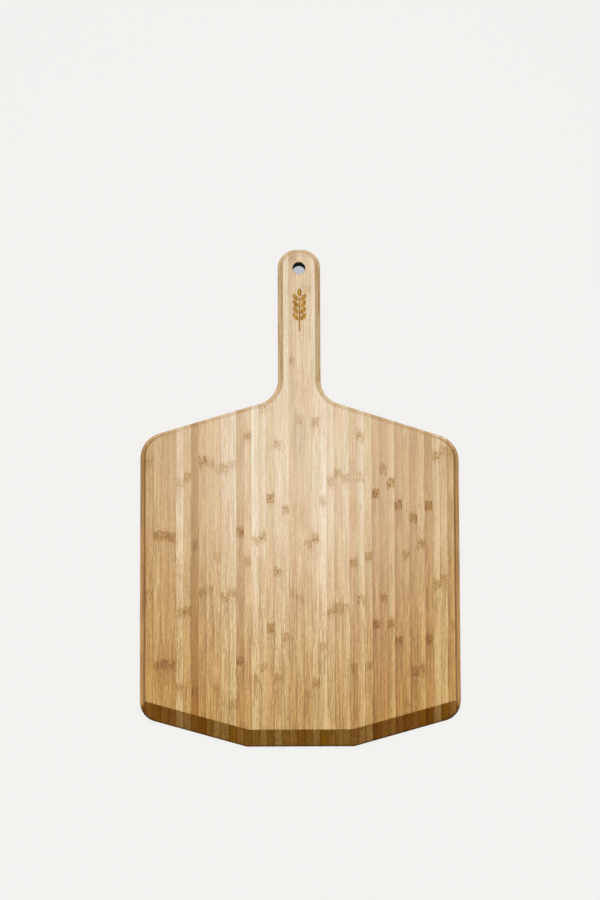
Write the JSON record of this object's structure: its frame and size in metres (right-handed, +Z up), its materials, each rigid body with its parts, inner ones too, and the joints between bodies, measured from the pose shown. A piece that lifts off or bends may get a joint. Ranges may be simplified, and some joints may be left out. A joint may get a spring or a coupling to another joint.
{
  "type": "pizza peel",
  "caption": "Bamboo pizza peel and serving board: a wide flat blade with a bevelled front edge, sloping shoulders and a short handle with a hanging hole.",
  "frame": {"origin": "on the underside, at the middle of the board's overall length and width", "axes": "+Z up out of the serving face, +Y along the handle towards the hanging hole, +X to the right with the handle pointing away"},
  "size_m": [0.305, 0.488, 0.012],
  "materials": {
    "bamboo_ivory": "satin, fine straight grain, nearly white-gold bamboo",
    "bamboo_pale": "satin, fine straight grain, pale golden bamboo",
    "bamboo_straw": "satin, fine straight grain, straw coloured bamboo",
    "bamboo_tan": "satin, fine straight grain, light pinkish tan bamboo",
    "bamboo_caramel": "satin, fine straight grain, golden tan bamboo with darker nodes",
    "bamboo_brown": "satin, fine straight grain, the darkest golden brown bamboo"
  },
  "bodies": {
    "root": {"centre_strip": "bamboo_straw", "centre_strip_tip": "bamboo_straw", "handle_strip_left_1": "bamboo_tan", "handle_strip_left_2": "bamboo_pale", "handle_strip_left_3": "bamboo_pale", "blade_strip_left_01": "bamboo_straw", "blade_strip_left_02": "bamboo_pale", "blade_strip_left_03": "bamboo_ivory", "blade_strip_left_04": "bamboo_straw", "blade_strip_left_05": "bamboo_caramel", "blade_strip_left_06": "bamboo_ivory", "blade_strip_left_07": "bamboo_pale", "blade_strip_left_08": "bamboo_straw", "blade_strip_left_09": "bamboo_straw", "blade_strip_left_10": "bamboo_tan", "blade_strip_left_11": "bamboo_brown", "blade_strip_left_12": "bamboo_straw", "blade_strip_left_13": "bamboo_ivory", "blade_strip_left_14": "bamboo_tan", "blade_strip_left_15": "bamboo_tan", "blade_strip_left_16": "bamboo_straw", "blade_strip_left_17": "bamboo_tan", "edge_strip_left": "bamboo_caramel", "handle_strip_right_1": "bamboo_straw", "handle_strip_right_2": "bamboo_pale", "handle_strip_right_3": "bamboo_ivory", "blade_strip_right_01": "bamboo_pale", "blade_strip_right_02": "bamboo_straw", "blade_strip_right_03": "bamboo_pale", "blade_strip_right_04": "bamboo_tan", "blade_strip_right_05": "bamboo_pale", "blade_strip_right_06": "bamboo_straw", "blade_strip_right_07": "bamboo_caramel", "blade_strip_right_08": "bamboo_caramel", "blade_strip_right_09": "bamboo_straw", "blade_strip_right_10": "bamboo_caramel", "blade_strip_right_11": "bamboo_tan", "blade_strip_right_12": "bamboo_caramel", "blade_strip_right_13": "bamboo_straw", "blade_strip_right_14": "bamboo_caramel", "blade_strip_right_15": "bamboo_pale", "blade_strip_right_16": "bamboo_pale", "blade_strip_right_17": "bamboo_tan", "edge_strip_right": "bamboo_caramel"}
  },
  "joints": []
}
